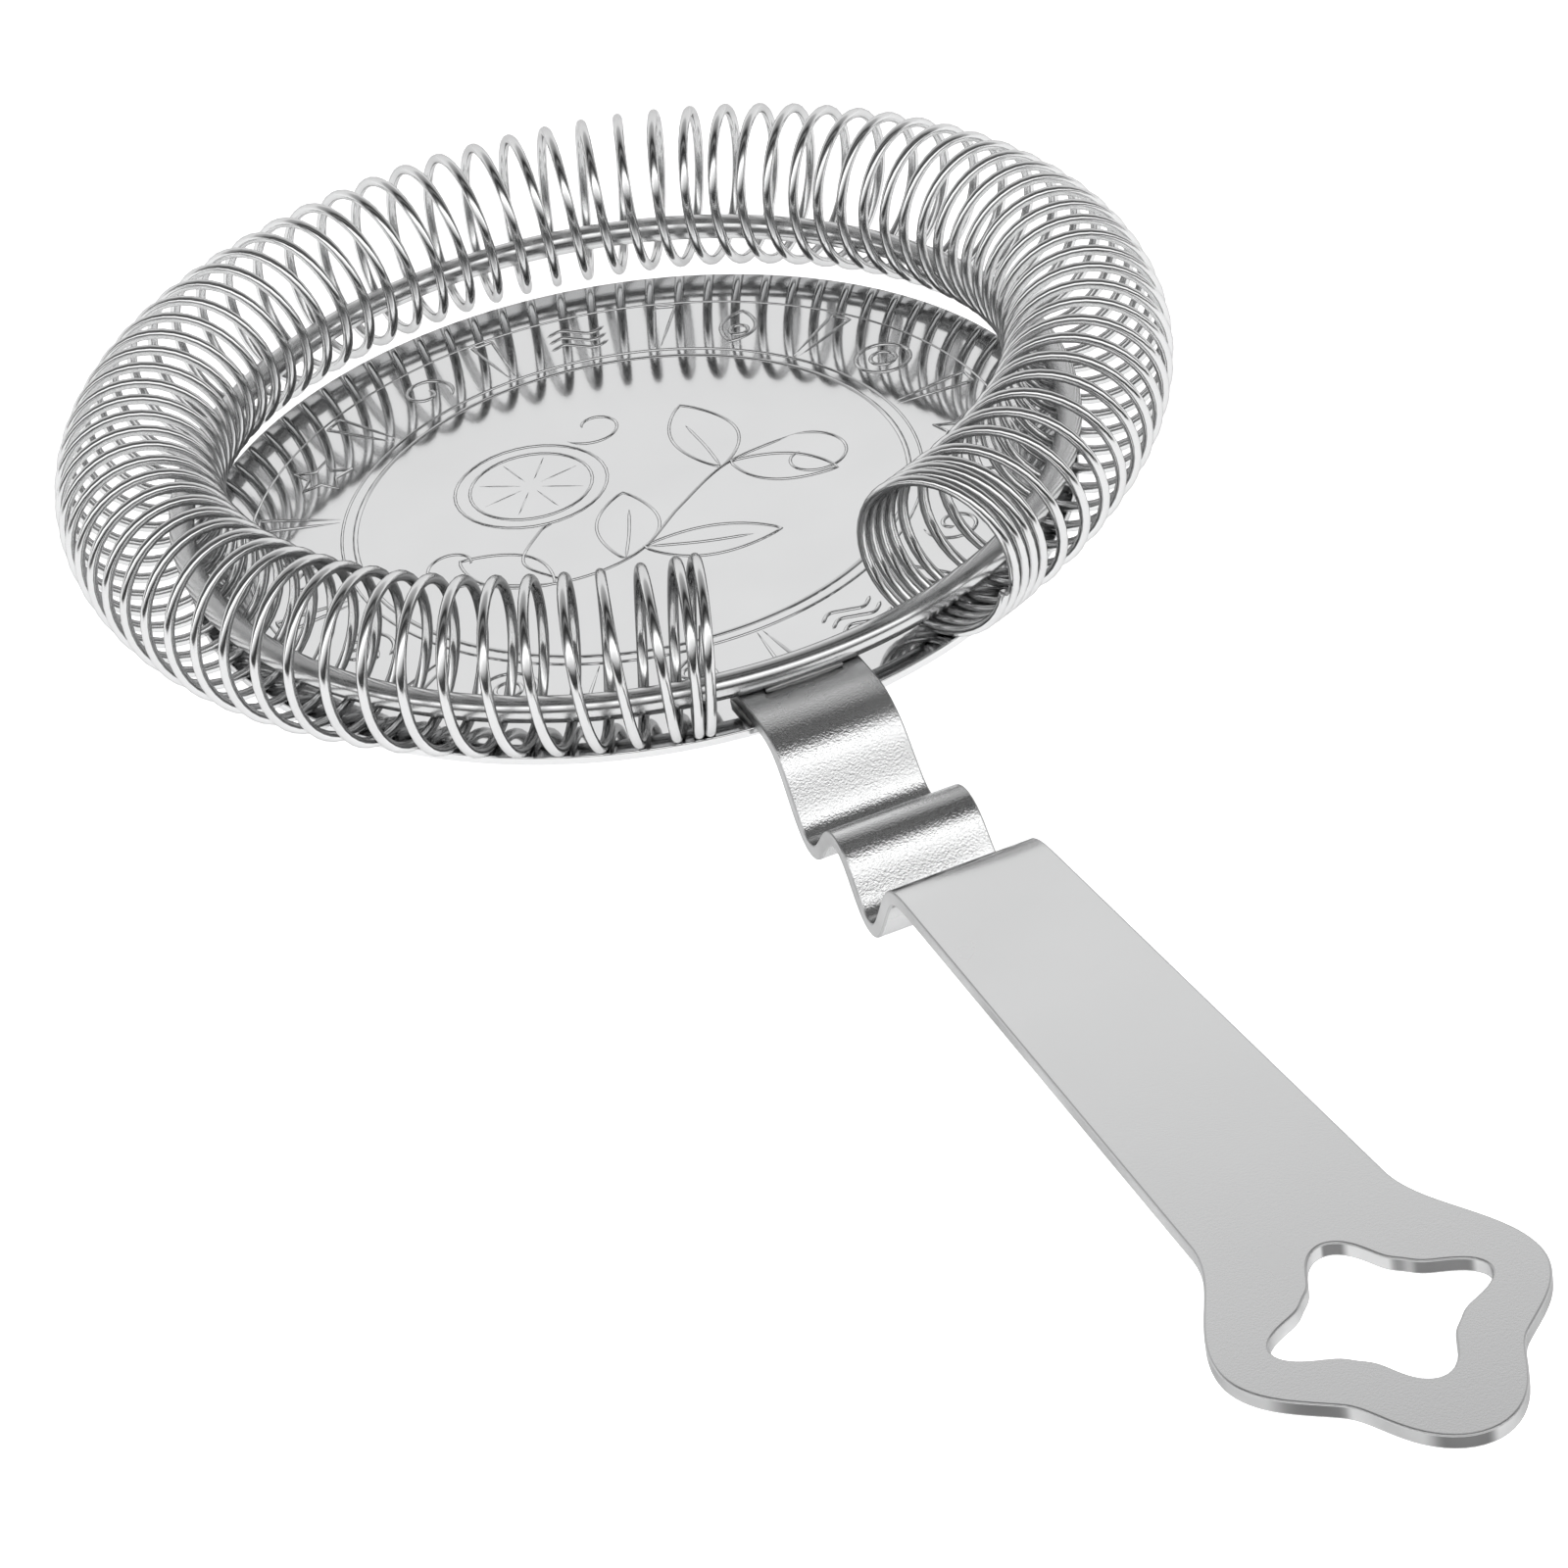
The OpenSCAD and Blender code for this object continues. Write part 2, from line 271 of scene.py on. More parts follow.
def dark_front(mat):
    """Painted shade: darkens a wall's colour where it faces the camera, standing in for the
    reflection of the unlit front of the studio.
    """
    tree = mat.node_tree
    az = math.radians(CAMERA_AZIMUTH + FRONT_TURN)
    facing = add_node(tree, "ShaderNodeVectorMath", operation="DOT_PRODUCT")
    facing.inputs[1].default_value = (math.sin(az), -math.cos(az), 0)
    normal = add_node(tree, "ShaderNodeNewGeometry").outputs["Normal"]
    tree.links.new(normal, facing.inputs[0])
    limits = (*FRONT_LIMITS, 1.0, FRONT_DARK)
    return multiply_colour(mat, scale_range(tree, facing.outputs["Value"], limits, True))


def object_y(tree):
    """A point's place along the strap, in the object's own space."""
    split = add_node(tree, "ShaderNodeSeparateXYZ")
    place = add_node(tree, "ShaderNodeTexCoord")
    tree.links.new(place.outputs["Object"], split.inputs["Vector"])
    return split.outputs["Y"]


def loop_painted_shade(mat):
    """Painted shade: the strap's colour grows slightly darker from the grip to the loop."""
    tree = mat.node_tree
    limits = (-(LOOP_Y + LOOP_TIP) * MM, -LOOP_TONE_Y * MM, LOOP_TONE, 1.0)
    return multiply_colour(mat, scale_range(tree, object_y(tree), limits))


def bend_grain(mat):
    """Makes the satin relief stronger on the bends than on the grip."""
    tree = mat.node_tree
    limits = (-(GRIP_Y + 1) * MM, -(GRIP_Y - 2) * MM, GRIP_GRAIN, 1.0)
    grain = scale_range(tree, object_y(tree), limits)
    first_bump = next(n for n in tree.nodes if n.type == "BUMP")
    first_bump.inputs["Distance"].default_value = BEND_GRAIN * MM
    tree.links.new(grain, first_bump.inputs["Strength"])
    return mat


def bend_marks(mat):
    """Adds the press tool's dark marks along the last bend of the strap."""
    tree = mat.node_tree
    target = tree.nodes["Principled BSDF"].inputs["Base Color"]
    offset = math_node(tree, "ADD", object_y(tree), (GRIP_Y + MARK_OFFSET) * MM)
    distance = math_node(tree, "ABSOLUTE", offset)
    band = scale_range(tree, distance, (0.1 * MM, MARK_WIDTH * MM, 1.0, 0.0), True)
    cells = noise_at(tree, MARK_GRAIN, 2.0, stretch=(0.35, 1.6, 1))
    specks = scale_range(tree, cells, (*MARK_LIMITS, 0.0, 1.0))
    mix = add_node(tree, "ShaderNodeMix", data_type="RGBA")
    tree.links.new(math_node(tree, "MULTIPLY", band, specks), mix.inputs["Factor"])
    tree.links.new(target.links[0].from_socket, mix.inputs["A"])
    mix.inputs["B"].default_value = (MARK_TONE, MARK_TONE, MARK_TONE, 1)
    tree.links.new(mix.outputs["Result"], target)
    return mat


# ------------------------------------------------------------ mesh helpers
def place_piece(name, mesh, body, nodes):
    """Puts a mesh in the scene, on a body, standing for CAD nodes."""
    for face in mesh.polygons:
        face.use_smooth = True
    obj = bpy.data.objects.new(name, mesh)
    bpy.context.scene.collection.objects.link(obj)
    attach(obj, body)
    if nodes:
        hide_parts(*nodes)
    return obj


def make_piece(name, verts, faces, material, body, slot_name, *nodes):
    """A mesh object, given in millimetres, that rides on a body and stands for CAD nodes."""
    mesh = bpy.data.meshes.new(name)
    mesh.from_pydata([tuple(c * MM for c in v) for v in verts], [], faces)
    mesh.validate()
    mesh.materials.append(material)
    return place_piece(name, mesh, body, nodes)


def weighted_normals(obj, sharp_angle):
    """Flat faces stay flat: corner normals follow the larger faces."""
    obj.data.set_sharp_from_angle(angle=math.radians(sharp_angle))
    modifier = obj.modifiers.new("normals", "WEIGHTED_NORMAL")
    modifier.keep_sharp = True
    modifier.weight = 100


def unit_rows(a):
    return a / np.linalg.norm(a, axis=1, keepdims=True)


def tube(path, side, radius, corners, closed):
    """Vertices and faces of a round wire along path. side is one direction across it."""
    count = len(path)
    ahead = np.roll(path, -1, 0) - np.roll(path, 1, 0)
    if not closed:
        ahead[0] = path[1] - path[0]
        ahead[-1] = path[-1] - path[-2]
    ahead = unit_rows(ahead)
    across = unit_rows(side - (side * ahead).sum(1, keepdims=True) * ahead)
    other = np.cross(ahead, across)
    radius = np.broadcast_to(np.asarray(radius, float), (count,))
    rings = []
    if not closed:
        rings += cut_end(path[0], -ahead[0], across[0], other[0], radius[0], corners)[::-1]
    for p, a, b, r in zip(path, across, other, radius):
        rings.append(circle_points(p, a, b, r, corners))
    if not closed:
        rings += cut_end(path[-1], ahead[-1], across[-1], other[-1], radius[-1], corners)
    verts = np.concatenate(rings)
    faces = join_rings(len(rings), corners, closed)
    if not closed:
        faces.append(tuple(reversed(range(corners))))
        faces.append(tuple(range(len(verts) - corners, len(verts))))
    return verts, faces


def circle_points(centre, a, b, r, corners):
    q = np.arange(corners) * TAU / corners
    return centre + r * (np.cos(q)[:, None] * a + np.sin(q)[:, None] * b)


def cut_end(centre, ahead, a, b, r, corners):
    """The chamfered end of a cut wire, as two more rings."""
    return [circle_points(centre + ahead * r * 0.16, a, b, r * 0.97, corners),
            circle_points(centre + ahead * r * 0.26, a, b, r * 0.84, corners)]


def join_rings(count, corners, closed):
    """Faces between neighbouring rings of corners."""
    faces = []
    for i in range(count if closed else count - 1):
        low, high = i * corners, ((i + 1) % count) * corners
        for j in range(corners):
            k = (j + 1) % corners
            faces.append((low + j, high + j, high + k, low + k))
    return faces


def lathe(profile, corners):
    """A closed solid turned about Z from (radius, height) points, first and last on the axis."""
    rim = profile[1:-1]
    verts = [(0, 0, profile[0][1])]
    for r, z in rim:
        verts += [(r * math.cos(i * TAU / corners), r * math.sin(i * TAU / corners), z)
                  for i in range(corners)]
    verts.append((0, 0, profile[-1][1]))
    faces = []
    for i in range(corners):
        k = (i + 1) % corners
        faces.append((0, 1 + k, 1 + i))
        for j in range(len(rim) - 1):
            low, high = 1 + j * corners, 1 + (j + 1) * corners
            faces.append((low + i, low + k, high + k, high + i))
        top = 1 + (len(rim) - 1) * corners
        faces.append((top + i, top + k, len(verts) - 1))
    return verts, faces


# ------------------------------------------------------------ plate
def plate_profile():
    """Outline of the plate from its underside's centre to its top's centre."""
    steps = 5
    low = [(PLATE_R - PLATE_EDGE + PLATE_EDGE * math.sin(i / steps * TAU / 4),
            PLATE_EDGE - PLATE_EDGE * math.cos(i / steps * TAU / 4)) for i in range(steps + 1)]
    high = [(r, PLATE_T - z) for r, z in reversed(low)]
    inner = PLATE_R - 2
    return [(0, 0), (inner, 0)] + low + high + [(inner, PLATE_T), (0, PLATE_T)]


def smooth_path(points, steps=10):
    """A Catmull-Rom curve through 2-D points."""
    pts = [Vector(p) for p in points]
    pts = [pts[0] * 2 - pts[1]] + pts + [pts[-1] * 2 - pts[-2]]
    out = []
    for i in range(1, len(pts) - 2):
        p0, p1, p2, p3 = pts[i - 1:i + 3]
        for s in range(steps):
            t = s / steps
            out.append(0.5 * (2 * p1 + (p2 - p0) * t + (2 * p0 - 5 * p1 + 4 * p2 - p3) * t * t
                              + (3 * p1 - p0 - 3 * p2 + p3) * t ** 3))
    out.append(pts[-2])
    return out


def arc(centre, r0, a0, a1, r1=None, steps=36):
    """An arc, or a spiral when r1 is given; angles in degrees."""
    r1 = r0 if r1 is None else r1
    out = []
    for i in range(steps + 1):
        t = i / steps
        r, a = r0 + (r1 - r0) * t, math.radians(a0 + (a1 - a0) * t)
        out.append(Vector((centre[0] + r * math.cos(a), centre[1] + r * math.sin(a))))
    return out


def leaf(base, angle, length, width, steps=24):
    """Closed almond outline with a slight hook."""
    along = Vector((math.cos(math.radians(angle)), math.sin(math.radians(angle))))
    across = Vector((-along.y, along.x))
    out = []
    for sign in (1, -1):
        for i in range(steps):
            t = i / steps if sign == 1 else 1 - i / steps
            w = width / 2 * math.sin(math.pi * t) ** 0.8
            bend = 0.12 * length * t * t
            out.append(Vector(base) + along * length * t + across * (sign * w + bend))
    return out


STROKE_SECTION = ((-0.5, 0.0), (-0.36, 0.55), (-0.16, 0.94), (0.0, 1.0),
                  (0.16, 0.94), (0.36, 0.55), (0.5, 0.0))
STROKE_ROOT = 0.03                            # how far a line is let into the plate


def stroke(points, width, height, closed):
    """A raised line with a domed section, tapered at open ends."""
    count = len(points)
    verts, faces = [], []
    for i, p in enumerate(points):
        before = points[i - 1] if i or closed else p
        after = points[(i + 1) % count] if i < count - 1 or closed else p
        along = (after - before).normalized()
        across = Vector((-along.y, along.x))
        end = 1 if closed else min(1, 0.25 + min(i, count - 1 - i) * 0.3)
        for x, z in STROKE_SECTION:
            q = p + across * x * width * end
            verts.append((q.x, q.y, PLATE_T - STROKE_ROOT + z * (height + STROKE_ROOT) * end))
    m = len(STROKE_SECTION)
    for i in range(count if closed else count - 1):
        a, b = i * m, ((i + 1) % count) * m
        for j in range(m):
            k = (j + 1) % m
            faces.append((a + j, b + j, b + k, a + k))
    if not closed:
        faces.append(tuple(range(m)))
        faces.append(tuple(reversed(range((count - 1) * m, count * m))))
    return verts, faces


def rotated(points, degrees, shift=(0, 0)):
    """Shifts 2-D points, then turns them about the plate's centre."""
    a = math.radians(degrees)
    c, s = math.cos(a), math.sin(a)
    return [Vector((c * (p[0] + shift[0]) - s * (p[1] + shift[1]),
                    s * (p[0] + shift[0]) + c * (p[1] + shift[1]))) for p in points]


def divider_lines(angle):
    """Two lines that spread outwards, closed at the outer end."""
    inner, outer = DIVIDER_W_IN / 2, DIVIDER_W_OUT / 2
    loop = [Vector((DIVIDER_IN, -inner)), Vector((DIVIDER_OUT, -outer)),
            Vector((DIVIDER_OUT, outer)), Vector((DIVIDER_IN, inner))]
    dense = []
    for p, q in zip(loop, loop[1:]):
        dense += [p.lerp(q, t / 6) for t in range(6)]
    dense.append(loop[-1])
    return rotated(dense, angle)


def glyphs():
    """Small plain symbols, drawn with x round the plate and y outwards."""
    star = [Vector((r * math.sin(i * TAU / 10), r * math.cos(i * TAU / 10)))
            for i, r in enumerate([2.6, 1.2] * 5)]
    wave = [smooth_path([(-2.6, y), (-1.3, y + 0.7), (0, y), (1.3, y - 0.7), (2.6, y)])
            for y in (-1.2, 0.1, 1.4)]
    return [
        [(arc((0, 0), 2.4, 0, 350), True), (arc((0, 0), 1.1, 0, 350), True)],
        [(leaf((-0.3, -2.6), 90, 5.2, 3.2), True), (arc((-0.2, -0.6), 0.8, 0, 350), True)],
        [(line, False) for line in wave],
        [(arc((0, 0), 2.6, -60, 380, 0.5), False)],
        [(star, True)],
        [(leaf((0, -2.4), 130, 4.4, 1.8), True), (leaf((0, -2.4), 55, 4.4, 1.8), True)],
        [(arc((0, 0), 2.5, 200, 340), False), (arc((0, 1.6), 2.4, 215, 325), False),
         (arc((0, 0.9), 0.7, 0, 350), True)],
    ]


def field_motif():
    """A plain fruit sprig for the centre field: a slice, leaves and tendrils."""
    hub = (-6.4, 7.2)
    lines = [
        (smooth_path([(-16.5, -4.5), (-10, -8.6), (-3, -8.2), (3, -3.5), (9, 0.5), (15.5, 1.5)]),
         False),
        (leaf((-10.5, -8.4), 118, 9.5, 5.0), True),
        (leaf((-4.0, -8.4), 62, 10.5, 5.4), True),
        (leaf((-2.0, -7.6), -28, 11.5, 4.6), True),
        (leaf((8.5, 0.3), 78, 11.5, 5.6), True),
        (leaf((9.5, 0.6), -48, 9.5, 4.2), True),
        (smooth_path([(-4.0, -8.4), (-2.3, -5.0), (-0.8, -1.4)]), False),
        (smooth_path([(8.5, 0.3), (8.7, 4.2), (8.6, 8.4)]), False),
        (smooth_path([(-2.0, -7.6), (2.5, -9.8), (6.5, -11.2)]), False),
        (arc(hub, 6.6, 0, 360), True),
        (arc(hub, 5.3, 0, 360), True),
        (arc((15.5, -2.6), 4.1, 90, -250, 1.2), False),
        (arc((-16.3, -1.0), 3.5, 270, -20, 1.0), False),
        (smooth_path([(-9.5, -8.6), (-11.5, -4.0), (-8.6, -0.2), (-7.0, 0.6)]), False),
        (arc((1.8, 13.2), 3.0, 200, 520, 0.9), False),
    ]
    for i in range(8):
        a = math.radians(i * 45 + 10)
        spoke = Vector((math.cos(a), math.sin(a)))
        lines.append(([Vector(hub) + spoke * r for r in (1.0, 2.2, 3.4, 4.6)], False))
    return lines


def add_lines(store, lines, width, height=RELIEF_H):
    """Adds strokes along (points, closed) lines to a store of vertices and faces."""
    verts, faces = store
    for points, closed in lines:
        if closed and (points[0] - points[-1]).length < 0.05:
            points = points[:-1]
        v, f = stroke(points, width, height, closed)
        base = len(verts)
        verts.extend(v)
        faces.extend(tuple(i + base for i in face) for face in f)


def build_plate(material):
    verts, faces = lathe(plate_profile(), 288)
    plate = make_piece("plate", verts, faces, material, "frame", "plate_steel", "strainer_plate")
    weighted_normals(plate, 80)
    store = ([], [])
    for radius, width in zip((FIELD_R, FIELD_R + BORDER_GAP), BORDER_LINE_W):
        add_lines(store, [(arc((0, 0), radius, 0, 360, steps=240), True)], width)
    outer = arc((0, 0), OUTER_LINE_R, -90 + OUTER_LINE_GAP, 270 - OUTER_LINE_GAP, steps=220)
    add_lines(store, [(outer, False)], OUTER_LINE_W, RELIEF_H * OUTER_LINE_H)
    add_dividers(store)
    add_lines(store, field_motif(), MOTIF_W, RELIEF_H * MOTIF_H)
    relief = make_piece("plate_relief", *store, material, "frame", "plate_steel",
                        "strainer_plate")
    return plate, relief


def add_dividers(store):
    """The dividers, and one small symbol in the middle of each sector."""
    symbols = glyphs()
    sector = 360 / DIVIDER_N
    middle = (0, (DIVIDER_IN + DIVIDER_OUT) / 2)
    for i in range(DIVIDER_N):
        angle = DIVIDER_START + i * sector
        add_lines(store, [(divider_lines(angle), False)], DIVIDER_LINE_W,
                  RELIEF_H * DIVIDER_LINE_H)
        turned = [(rotated(p, angle + sector / 2 - 90, middle), c)
                  for p, c in symbols[i % len(symbols)]]
        add_lines(store, turned, SYMBOL_W, RELIEF_H * SYMBOL_H)


# ------------------------------------------------------------ ring and spring
def build_ring(material):
    a = np.arange(360) * TAU / 360
    path = np.stack([RING_X + RING_R * np.cos(a), RING_Y + RING_R * np.sin(a),
                     RING_Z + RING_RISE * (1 + np.sin(a)) / 2], 1)
    out = np.stack([np.cos(a), np.sin(a), 0 * a], 1)
    verts, faces = tube(path, out, RING_WIRE / 2, 28, True)
    return make_piece("ring", verts, faces, material, "frame", "ring_steel", "retaining_ring")


def spring_angles():
    """Counts of turns with the angle round the plate and the turn's lean, in degrees."""
    turn = np.linspace(0, TURNS, round(TURNS * STEPS_PER_TURN) + 1)
    close = np.interp(turn, [0, CLOSED_RIGHT, CLOSED_RIGHT + CLOSE_RUN,
                             TURNS - CLOSED_LEFT - CLOSE_RUN, TURNS - CLOSED_LEFT, TURNS],
                      [CLOSE_RIGHT, CLOSE_RIGHT, 1, 1, CLOSE_LEFT, CLOSE_LEFT])
    around = np.radians(SPRING_START + 4 * turn)    # a turn takes about 4 degrees
    spread = close * (1 - SPACING_CHANGE * np.cos(2 * around))
    angle = np.concatenate([[0], np.cumsum((spread[1:] + spread[:-1]) / 2)])
    angle = SPRING_START + angle / angle[-1] * (SPRING_END - SPRING_START)
    lean = np.interp(turn, [0, CLOSED_RIGHT, LEAN_RUN_RIGHT,
                            TURNS - LEAN_RUN_LEFT, TURNS - CLOSED_LEFT, TURNS],
                     [END_LEAN, END_LEAN - LEAN_LOSS, 0, 0, LEFT_LEAN, LEFT_LEAN - LEAN_GAIN])
    return turn, angle, lean


def build_spring(material):
    """The spring as it lies in the photograph: a slight oval with leaning end turns."""
    turn, angle, lean = spring_angles()
    a, plane = np.radians(angle), np.radians(angle + lean)
    flat = 0 * a
    out = np.stack([np.cos(plane), np.sin(plane), flat], 1)
    tip = np.radians(np.interp(turn, [TURNS - LEAN_RUN_LEFT, TURNS], [0, LEFT_TIP]))
    up = np.stack([-np.sin(a) * np.sin(tip), np.cos(a) * np.sin(tip), np.cos(tip)], 1)
    phi = math.radians(WIRE_START) - turn * TAU
    reach = np.cos(phi)[:, None] * out + np.sin(phi)[:, None] * up
    shift = np.interp(turn, [0, SHIFT_RUN_RIGHT, TURNS - SHIFT_RUN_LEFT, TURNS],
                      [END_SHIFT, 0, 0, LEFT_SHIFT])
    centre = np.stack([COIL_X + (COIL_A + shift) * np.cos(a) + COIL_SKEW * np.cos(2 * a),
                       COIL_Y + (COIL_B + shift) * np.sin(a),
                       COIL_Z - COIL_TILT * np.sin(a) + COIL_BOW * np.cos(2 * a)], 1)
    verts, faces = tube(centre + TURN_R * reach, reach, SPRING_WIRE / 2, 12, False)
    return make_piece("coil_spring", verts, faces, material, "spring", "spring_wire",
                      "spring_coil")


# ------------------------------------------------------------ handle
def strap_corners():
    """Corners of the strap's centre line as (distance out, height), inner end first."""
    z, crimped = STRAP_MID_Z, GRIP_Y - BEND_Y
    end = LOOP_Y + LOOP_TIP + 4
    rise = (end - GRIP_Y) * math.tan(math.radians(GRIP_SLOPE))
    return [(STRAP_IN, z), (BEND_Y, z), (BEND_Y + GROOVE_IN * crimped, z - GROOVE),
            (BEND_Y + RIDGE_AT * crimped, z - RIDGE_STEP),
            (BEND_Y + GROOVE_OUT * crimped, z - GROOVE),
            (GRIP_Y, z + RIDGE_STEP), (end, z + RIDGE_STEP + rise)]


def round_corner(before, corner, after, radius):
    """Points along the arc that replaces a corner of a line."""
    d0, d1 = (corner - before).normalized(), (after - corner).normalized()
    turn = math.atan2(d0.x * d1.y - d0.y * d1.x, d0.dot(d1))
    start = corner - d0 * radius * math.tan(abs(turn) / 2)
    centre = start + Vector((-d0.y, d0.x)) * (1 if turn > 0 else -1) * radius
    steps = max(4, int(abs(math.degrees(turn)) / 4))
    first = math.atan2(start.y - centre.y, start.x - centre.x)
    angles = [first + turn * s / steps for s in range(steps + 1)]
    return [centre + Vector((math.cos(a), math.sin(a))) * radius for a in angles]


def strap_line():
    """The centre line with its bends: arrays of places and of upward normals."""
    pts = [Vector(c) for c in strap_corners()]
    line = [pts[0]]
    for i, radius in enumerate(BEND_RADII, start=1):
        line += round_corner(pts[i - 1], pts[i], pts[i + 1], radius)
    line.append(pts[-1])
    place = ease(np.array([tuple(p) for p in line]))
    length = np.concatenate([[0], np.cumsum(np.linalg.norm(np.diff(place, axis=0), axis=1))])
    ahead = np.gradient(place, length, axis=0)
    ahead /= np.linalg.norm(ahead, axis=1, keepdims=True)
    ahead[0] = ahead[1] = (1, 0)
    up = np.stack([-ahead[:, 1], ahead[:, 0]], 1)
    return place, up


def ease(line):
    """Resamples the bent part of a line evenly and blends its bends into the slopes."""
    length = np.concatenate([[0], np.cumsum(np.linalg.norm(np.diff(line, axis=0), axis=1))])
    step = 0.3
    even = np.arange(0, length[-1], step)
    pad = int(4 * STRAP_EASE / step)
    weight = np.exp(-0.5 * (np.arange(-pad, pad + 1) * step / STRAP_EASE) ** 2)
    weight /= weight.sum()
    columns = []
    for column in line.T:
        values = np.interp(even, length, column)
        before = values[0] - (values[1] - values[0]) * np.arange(pad, 0, -1)
        after = values[-1] + (values[-1] - values[-2]) * np.arange(1, pad + 1)
        columns.append(np.convolve(np.concatenate([before, values, after]), weight, "valid"))
    smooth = np.stack(columns, 1)
    bent = (smooth[:, 0] > STRAP_IN + 2) & (smooth[:, 0] < STRAP_OUT_Y)
    return np.concatenate([line[:1], smooth[bent], line[-1:]])


def bump(angle, width):
    """A smooth hump: 1 at angle 0, nothing from width on; both in degrees."""
    angle = (angle + 180) % 360 - 180
    return 0 if abs(angle) >= width else math.cos(math.radians(angle * 90 / width)) ** 2


def loop_radius(a):
    """The loop's outer edge: bulges to both sides and at the tip, waists between them."""
    sides = bump(a, LOOP_SIDE_SPREAD) + bump(a - 180, LOOP_SIDE_SPREAD)
    tip = bump(a - 90, LOOP_TIP_SPREAD)
    return LOOP_WAIST + (LOOP_SIDE - LOOP_WAIST) * sides + (LOOP_TIP - LOOP_WAIST) * tip


def hole_radius(a):
    """The four-pointed cut-out's edge."""
    lobe = (1 + math.cos(math.radians(4 * a))) / 2
    return HOLE_WAIST + (HOLE_POINT - HOLE_WAIST) * lobe ** HOLE_SHARPNESS


def round_loop(radius_at, angles):
    """Points round the loop's centre, at a radius that depends on the angle."""
    return [(radius_at(a) * math.cos(math.radians(a)),
             LOOP_Y + radius_at(a) * math.sin(math.radians(a))) for a in angles]


def taper(width0, y0, width1, y1, steps):
    """Points along a straight edge from one half width to another, without the first."""
    shares = [i / steps for i in range(1, steps + 1)]
    return [((width0 + (width1 - width0) * t) / 2, y0 + (y1 - y0) * t) for t in shares]


def strap_outline():
    """The strap seen from above as (x, distance out), going round once."""
    corner, half_in, neck_y = STRAP_CORNER, STRAP_W_IN / 2, LOOP_Y - NECK_L
    edge = [(half_in - corner, STRAP_IN), (half_in - corner * 0.3, STRAP_IN + corner * 0.3),
            (half_in, STRAP_IN + corner)]
    edge += taper(STRAP_W_IN, STRAP_IN + corner, STRAP_W_IN, BEND_Y, 12)
    edge += taper(STRAP_W_IN, BEND_Y, STRAP_W_MID, GRIP_Y, 24)
    edge += taper(STRAP_W_MID, GRIP_Y, STRAP_W_OUT, neck_y, 30)
    for i in range(1, 24):
        t = i / 24
        swell = (LOOP_SIDE - STRAP_W_OUT / 2) * (1 - math.cos(math.pi * t)) / 2
        edge.append((STRAP_W_OUT / 2 + swell, LOOP_Y - NECK_L * (1 - t)))
    tip = round_loop(loop_radius, np.arange(0, 180.1, 2.5))
    return edge + tip + [(-x, y) for x, y in reversed(edge)]


def hole_outline():
    return round_loop(hole_radius, np.arange(0, 360, 2.5))


def inset(loop, amount):
    """Moves a closed outline inwards, to the left of its direction of travel."""
    pts = np.array(loop)
    ahead = np.roll(pts, -1, 0) - np.roll(pts, 1, 0)
    ahead /= np.linalg.norm(ahead, axis=1, keepdims=True)
    return pts + amount * np.stack([-ahead[:, 1], ahead[:, 0]], 1)


def edge_steps():
    """(inset, height) round the strap's edge from the underside to the top."""
    half, r, steps = STRAP_T / 2, STRAP_EDGE, 4
    turn = [(r - r * math.sin(i / steps * TAU / 4), half - r + r * math.cos(i / steps * TAU / 4))
            for i in range(steps + 1)]
    return [(d, -h) for d, h in turn] + [(d, h) for d, h in reversed(turn)]


def rim_surface(bm, loop):
    """Side wall and rounded edges along one outline; returns its lowest and highest edges."""
    rows, facing = [], bm.verts.layers.float_vector["facing"]
    outward = (np.array(loop) - inset(loop, 1.0))
    for amount, height in edge_steps():
        rows.append([bm.verts.new((p[0], p[1], height)) for p in inset(loop, amount)])
        lift = max(0.0, abs(height) - STRAP_T / 2 + STRAP_EDGE) / STRAP_EDGE
        side = math.sqrt(max(0.0, 1 - lift ** 2))
        for v, o in zip(rows[-1], outward):
            v[facing] = (o[0] * side, o[1] * side, math.copysign(lift, height))
    n = len(loop)
    for step, (low, high) in enumerate(zip(rows, rows[1:])):
        for i in range(n):
            k = (i + 1) % n
            face = bm.faces.new((low[i], low[k], high[k], high[i]))
            # The middle step is the wall; the rounded edges get the darker tint of painted
            # shade.
            face.material_index = 1 if step == len(rows) // 2 - 1 else 2
    ends = []
    for row in (rows[0], rows[-1]):
        ends.append([bm.edges.get((row[i], row[(i + 1) % n])) for i in range(n)])
    return ends


def flat_strap(places):
    """The strap before bending, cut across at each place; y is the distance out."""
    bm = bmesh.new()
    bm.verts.layers.float_vector.new("facing")
    outer = rim_surface(bm, strap_outline())
    hole = rim_surface(bm, hole_outline()[::-1])
    for low_high in (0, 1):
        bmesh.ops.triangle_fill(bm, use_beauty=True, use_dissolve=False,
                                edges=outer[low_high] + hole[low_high])
    for y in places:
        bmesh.ops.bisect_plane(bm, geom=bm.verts[:] + bm.edges[:] + bm.faces[:],
                               plane_co=(0, y, 0), plane_no=(0, 1, 0), dist=1e-5)
    bmesh.ops.recalc_face_normals(bm, faces=bm.faces[:])
    return bm


def bend_strap(bm, place, up):
    """Moves the strap's vertices onto its bent line; returns their exact normals."""
    facing = bm.verts.layers.float_vector["facing"]
    normals = []
    for v in bm.verts:
        d = v.co.y
        z, nd, nz = (float(np.interp(d, place[:, 0], values))
                     for values in (place[:, 1], up[:, 0], up[:, 1]))
        v.co = Vector((v.co.x + STRAP_X, -(d + nd * v.co.z), z + nz * v.co.z))
        n = v[facing]
        normals.append(Vector((n.x, -(n.y * nz + n.z * nd), n.z * nz - n.y * nd)).normalized())
        v.co *= MM
    bmesh.ops.recalc_face_normals(bm, faces=bm.faces[:])
    return normals


